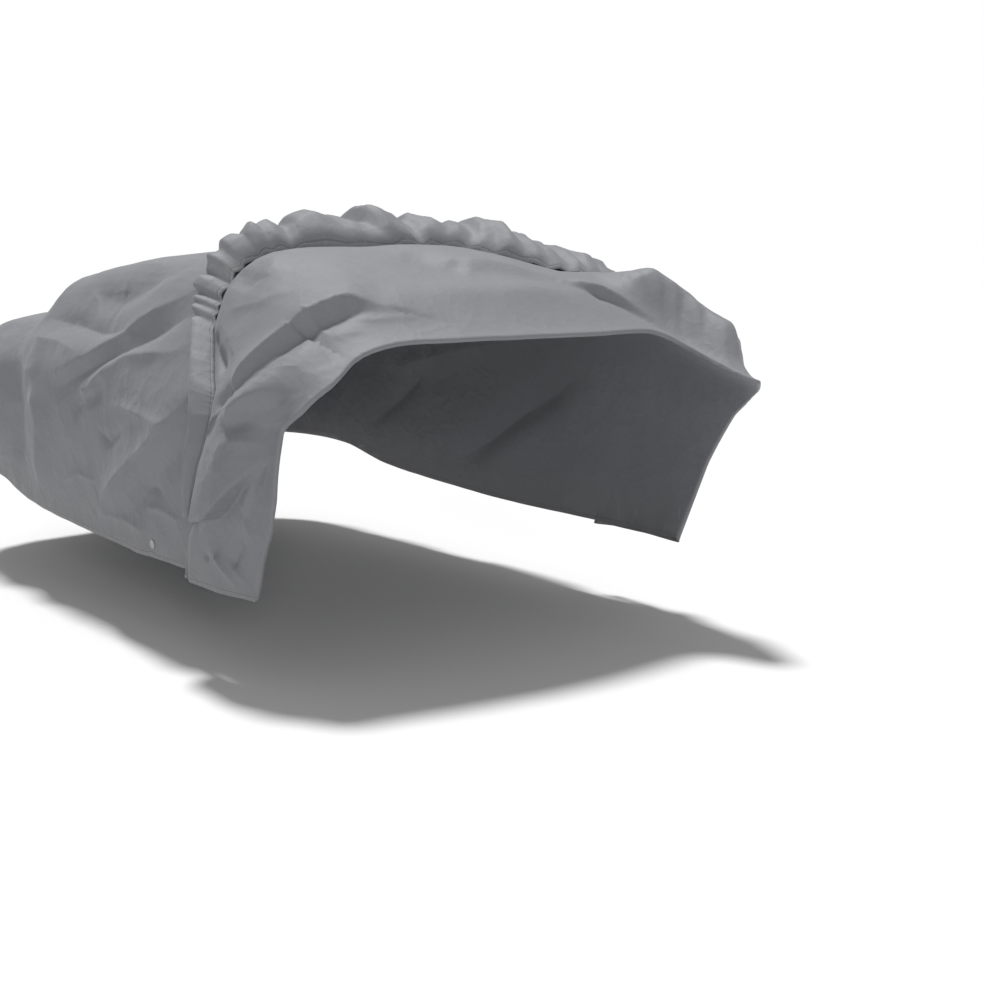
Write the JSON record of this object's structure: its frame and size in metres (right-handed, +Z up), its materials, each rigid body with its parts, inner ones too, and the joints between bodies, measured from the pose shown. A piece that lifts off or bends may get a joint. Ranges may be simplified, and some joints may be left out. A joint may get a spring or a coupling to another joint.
{
  "type": "fitted car cover, drawn back over its own front",
  "caption": "Grey fabric cover for a saloon car, hollow underneath, with its front third folded back over the roof and its elastic hem turned forward in a puffed roll.",
  "frame": {"origin": "underside of the cloth where it rests on the middle of the roof, 1.478 m above the ground", "axes": "+X to the front of the vehicle, +Y to its left, +Z up"},
  "size_m": [3.6176, 2.1523, 1.3147],
  "materials": {
    "grey_polyester": "matt woven polyester with a thin coating",
    "light_plastic": "satin"
  },
  "bodies": {
    "root": {"cover_cloth": "grey_polyester", "hem_disc": "light_plastic"}
  },
  "joints": []
}
